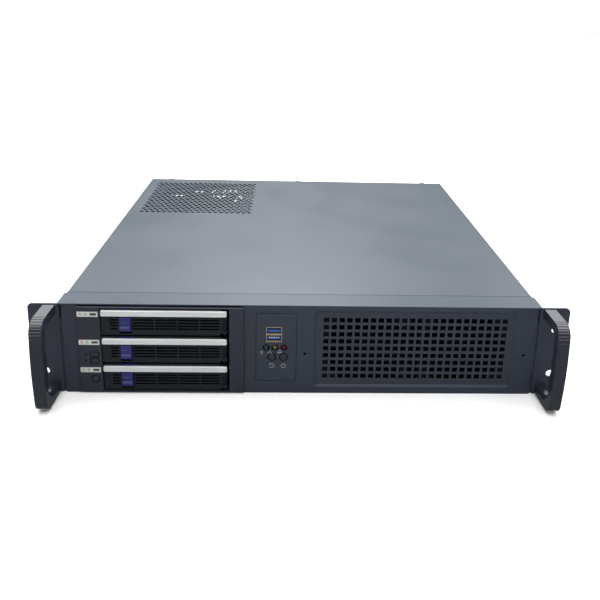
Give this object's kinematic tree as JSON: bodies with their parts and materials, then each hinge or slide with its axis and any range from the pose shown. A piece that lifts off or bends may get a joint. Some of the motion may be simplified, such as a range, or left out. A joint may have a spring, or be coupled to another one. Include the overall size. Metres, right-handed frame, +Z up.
{
  "type": "nas enclosure",
  "caption": "Two-unit rack storage case with handles, a hot-swap drive module with swing-out tray levers, a control plate, a fan grille and a sliding vented cover.",
  "frame": {"origin": "centre of the bounding box at the underside of the case", "axes": "+X to the right seen from the front, +Y from the front to the back, +Z up"},
  "size_m": [0.4826, 0.444, 0.088],
  "materials": {
    "front_paint": "matte powder coat",
    "cover_paint": "satin powder coat",
    "case_steel": "satin",
    "bright_steel": "zinc plated",
    "screw_steel": "plated",
    "handle_plastic": "fine moulded grain",
    "module_plastic": "fine moulded grain",
    "tray_plastic": "matte",
    "trim_aluminium": "brushed",
    "latch_purple": "satin",
    "label_white": "satin",
    "circuit_board": "solder mask",
    "black_connector": "matte",
    "connector_shell": "plated",
    "usb_blue": "satin",
    "led_green": "tinted",
    "led_yellow": "tinted",
    "led_red": "tinted",
    "switch_plastic": "satin",
    "fan_plastic": "matte",
    "drive_aluminium": "cast",
    "heatsink_aluminium": "extruded"
  },
  "bodies": {
    "chassis": {"alarm_windows": "module_plastic", "backplane_board": "circuit_board", "backplane_sockets": "black_connector", "base_pan": "case_steel", "bay_labels": "label_white", "cage_bezel": "module_plastic", "control_plate": "front_paint", "drive_cage": "bright_steel", "ear_left": "front_paint", "ear_right": "front_paint", "ear_screws": "screw_steel", "ejector_strikes": "bright_steel", "fan_frame_left": "fan_plastic", "fan_frame_right": "fan_plastic", "front_io_board": "circuit_board", "front_panel": "front_paint", "handle_left": "handle_plastic", "handle_right": "handle_plastic", "heatsink": "heatsink_aluminium", "led_green": "led_green", "led_red": "led_red", "led_yellow": "led_yellow", "mainboard": "circuit_board", "memory_modules": "circuit_board", "power_inlet": "black_connector", "psu_case": "bright_steel", "psu_fan_guard": "bright_steel", "rear_panel": "case_steel", "rear_plates": "bright_steel", "rear_ports": "connector_shell", "standoffs": "screw_steel", "usb_shells": "connector_shell", "usb_tongues": "usb_blue"},
    "cover": {"top_cover": "cover_paint", "cover_screws": "screw_steel"},
    "mute_button_body": {"mute_button": "module_plastic"},
    "power_button_body": {"power_button": "module_plastic"},
    "reset_button_body": {"reset_button": "module_plastic"},
    "fan_left": {"fan_rotor_left": "fan_plastic"},
    "fan_right": {"fan_rotor_right": "fan_plastic"},
    "psu_fan": {"psu_fan_rotor": "fan_plastic"},
    "switch_rocker": {"power_switch": "switch_plastic"},
    "bay_tray_1": {"tray_1": "tray_plastic", "drive_1": "drive_aluminium", "lever_pin_1": "screw_steel"},
    "bay_lever_1": {"lever_1": "module_plastic", "trim_bar_1": "trim_aluminium"},
    "bay_latch_1": {"latch_1": "latch_purple"},
    "bay_tray_2": {"tray_2": "tray_plastic", "drive_2": "drive_aluminium", "lever_pin_2": "screw_steel"},
    "bay_lever_2": {"lever_2": "module_plastic", "trim_bar_2": "trim_aluminium"},
    "bay_latch_2": {"latch_2": "latch_purple"},
    "bay_tray_3": {"tray_3": "tray_plastic", "drive_3": "drive_aluminium", "lever_pin_3": "screw_steel"},
    "bay_lever_3": {"lever_3": "module_plastic", "trim_bar_3": "trim_aluminium"},
    "bay_latch_3": {"latch_3": "latch_purple"}
  },
  "joints": [
    {"name": "cover_slide", "type": "slide", "parent": "chassis", "child": "cover", "axis": [0, 1, 0], "range_m": [0, 0.38]},
    {"name": "tray_1_slide", "type": "slide", "parent": "chassis", "child": "bay_tray_1", "axis": [0, -1, 0], "range_m": [0, 0.19]},
    {"name": "lever_1_swing", "type": "hinge", "parent": "bay_tray_1", "child": "bay_lever_1", "pos_m": [-0.0695, -0.1858, 0.07175], "axis": [0, 0, 1], "range_deg": [0, 70]},
    {"name": "latch_1_press", "type": "slide", "parent": "bay_lever_1", "child": "bay_latch_1", "axis": [0, 0, -1], "range_m": [0, 0.002], "stiffness_N_per_m": 400, "springref_m": -0.001},
    {"name": "tray_2_slide", "type": "slide", "parent": "chassis", "child": "bay_tray_2", "axis": [0, -1, 0], "range_m": [0, 0.19]},
    {"name": "lever_2_swing", "type": "hinge", "parent": "bay_tray_2", "child": "bay_lever_2", "pos_m": [-0.0695, -0.1858, 0.04435], "axis": [0, 0, 1], "range_deg": [0, 70]},
    {"name": "latch_2_press", "type": "slide", "parent": "bay_lever_2", "child": "bay_latch_2", "axis": [0, 0, -1], "range_m": [0, 0.002], "stiffness_N_per_m": 400, "springref_m": -0.001},
    {"name": "tray_3_slide", "type": "slide", "parent": "chassis", "child": "bay_tray_3", "axis": [0, -1, 0], "range_m": [0, 0.19]},
    {"name": "lever_3_swing", "type": "hinge", "parent": "bay_tray_3", "child": "bay_lever_3", "pos_m": [-0.0695, -0.1858, 0.01695], "axis": [0, 0, 1], "range_deg": [0, 70]},
    {"name": "latch_3_press", "type": "slide", "parent": "bay_lever_3", "child": "bay_latch_3", "axis": [0, 0, -1], "range_m": [0, 0.002], "stiffness_N_per_m": 400, "springref_m": -0.001},
    {"name": "mute_button_press", "type": "slide", "parent": "chassis", "child": "mute_button_body", "axis": [0, 1, 0], "range_m": [0, 0.001], "stiffness_N_per_m": 500, "springref_m": -0.0006},
    {"name": "power_button_press", "type": "slide", "parent": "chassis", "child": "power_button_body", "axis": [0, 1, 0], "range_m": [0, 0.001], "stiffness_N_per_m": 500, "springref_m": -0.0006},
    {"name": "reset_button_press", "type": "slide", "parent": "chassis", "child": "reset_button_body", "axis": [0, 1, 0], "range_m": [0, 0.001], "stiffness_N_per_m": 500, "springref_m": -0.0006},
    {"name": "fan_left_spin", "type": "hinge", "parent": "chassis", "child": "fan_left", "pos_m": [0.0584, -0.174, 0.0442], "axis": [0, 1, 0], "continuous": true},
    {"name": "fan_right_spin", "type": "hinge", "parent": "chassis", "child": "fan_right", "pos_m": [0.1464, -0.174, 0.0442], "axis": [0, 1, 0], "continuous": true},
    {"name": "psu_fan_spin", "type": "hinge", "parent": "chassis", "child": "psu_fan", "pos_m": [-0.132, 0.1416, 0.07], "axis": [0, 0, 1], "continuous": true},
    {"name": "power_switch_rock", "type": "hinge", "parent": "chassis", "child": "switch_rocker", "pos_m": [-0.176, 0.208, 0.058], "axis": [1, 0, 0], "range_deg": [-9, 9]}
  ]
}
